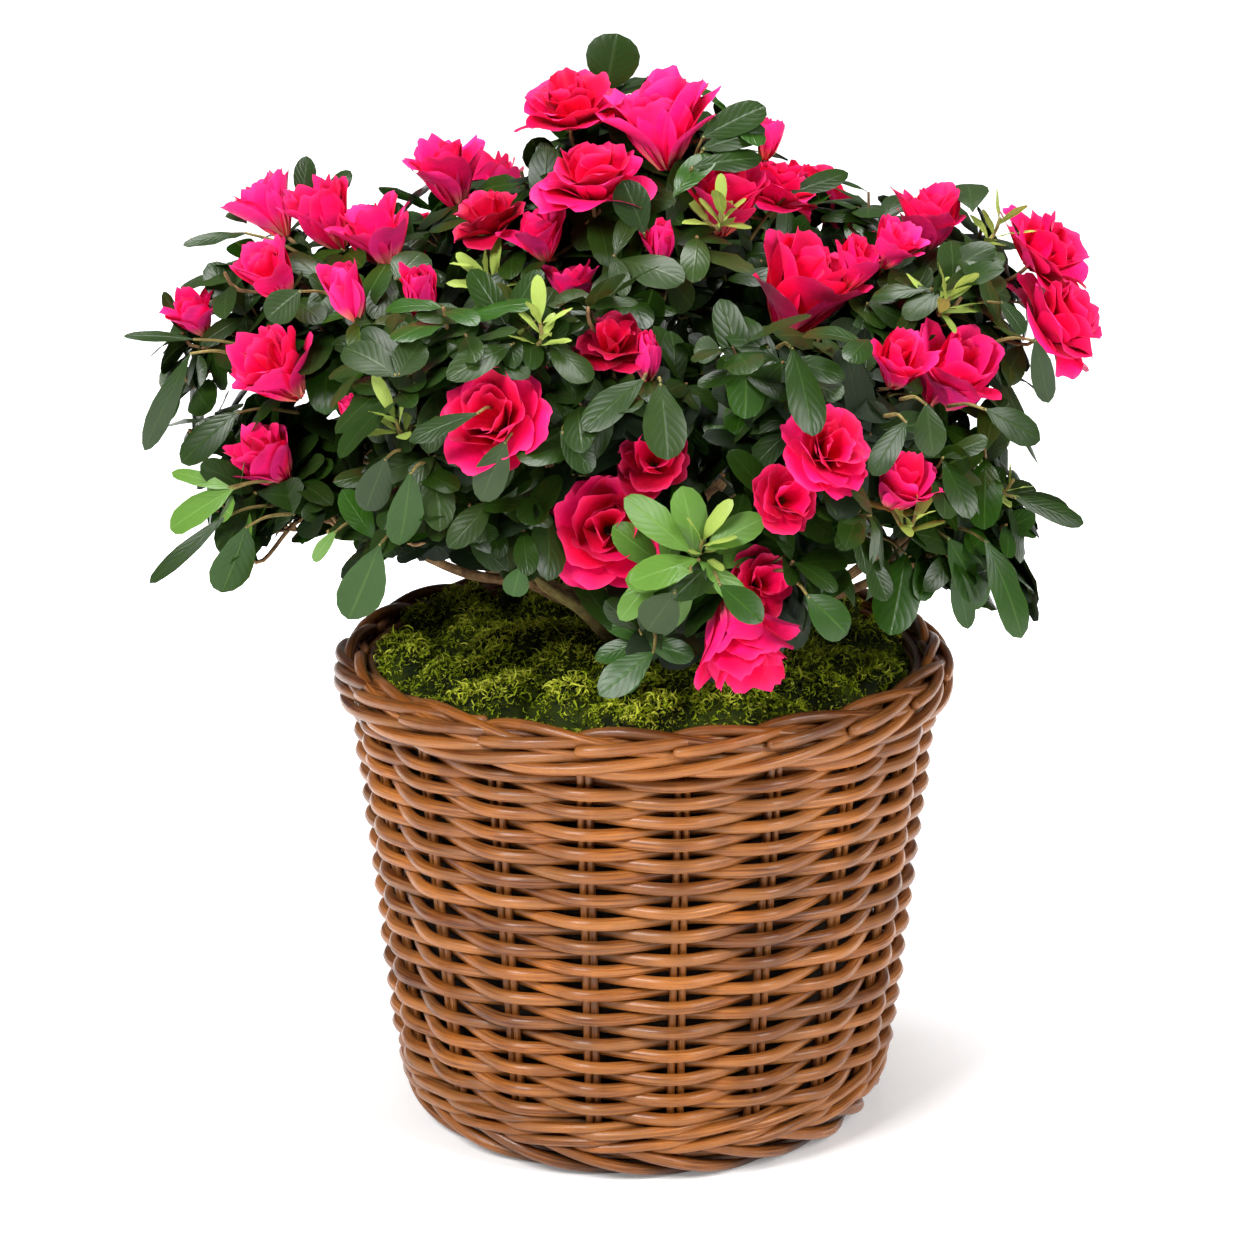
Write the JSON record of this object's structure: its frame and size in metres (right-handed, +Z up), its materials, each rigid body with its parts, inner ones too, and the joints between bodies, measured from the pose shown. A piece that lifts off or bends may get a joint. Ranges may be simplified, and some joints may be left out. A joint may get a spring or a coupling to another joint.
{
  "type": "potted azalea shrub",
  "caption": "Double-flowered azalea shrub with pink blossom and dark leaves, growing in a round woven wicker basket with moss on top.",
  "frame": {"origin": "centre of the basket's flat underside, on the surface it stands on", "axes": "+Z up, -Y towards the front of the plant, +X to its right as seen from the front"},
  "size_m": [0.5005, 0.3934, 0.5636],
  "materials": {
    "wicker": "satin",
    "soil": "matte",
    "moss": "matte",
    "bark": "matte",
    "foliage": "satin"
  },
  "bodies": {
    "root": {"basket_base": "wicker", "foot_border": "wicker", "basket_wall": "wicker", "rim_border": "wicker", "soil_ball": "soil", "moss": "moss", "trunk": "bark", "bough_crown_top": "bark", "bough_upper_left": "bark", "bough_upper_right": "bark", "bough_side_left": "bark", "bough_side_right": "bark", "bough_front_left": "bark", "bough_front_middle": "bark", "bough_front_right": "bark", "bough_low_left": "bark", "bough_low_right": "bark", "bough_back_left": "bark", "bough_back_right": "bark", "bough_back_low_left": "bark", "bough_back_low_right": "bark", "foliage_crown_top": "foliage", "foliage_upper_left": "foliage", "foliage_upper_right": "foliage", "foliage_side_left": "foliage", "foliage_side_right": "foliage", "foliage_front_left": "foliage", "foliage_front_middle": "foliage", "foliage_front_right": "foliage", "foliage_low_left": "foliage", "foliage_low_right": "foliage", "foliage_back_left": "foliage", "foliage_back_right": "foliage", "foliage_back_low_left": "foliage", "foliage_back_low_right": "foliage"}
  },
  "joints": []
}
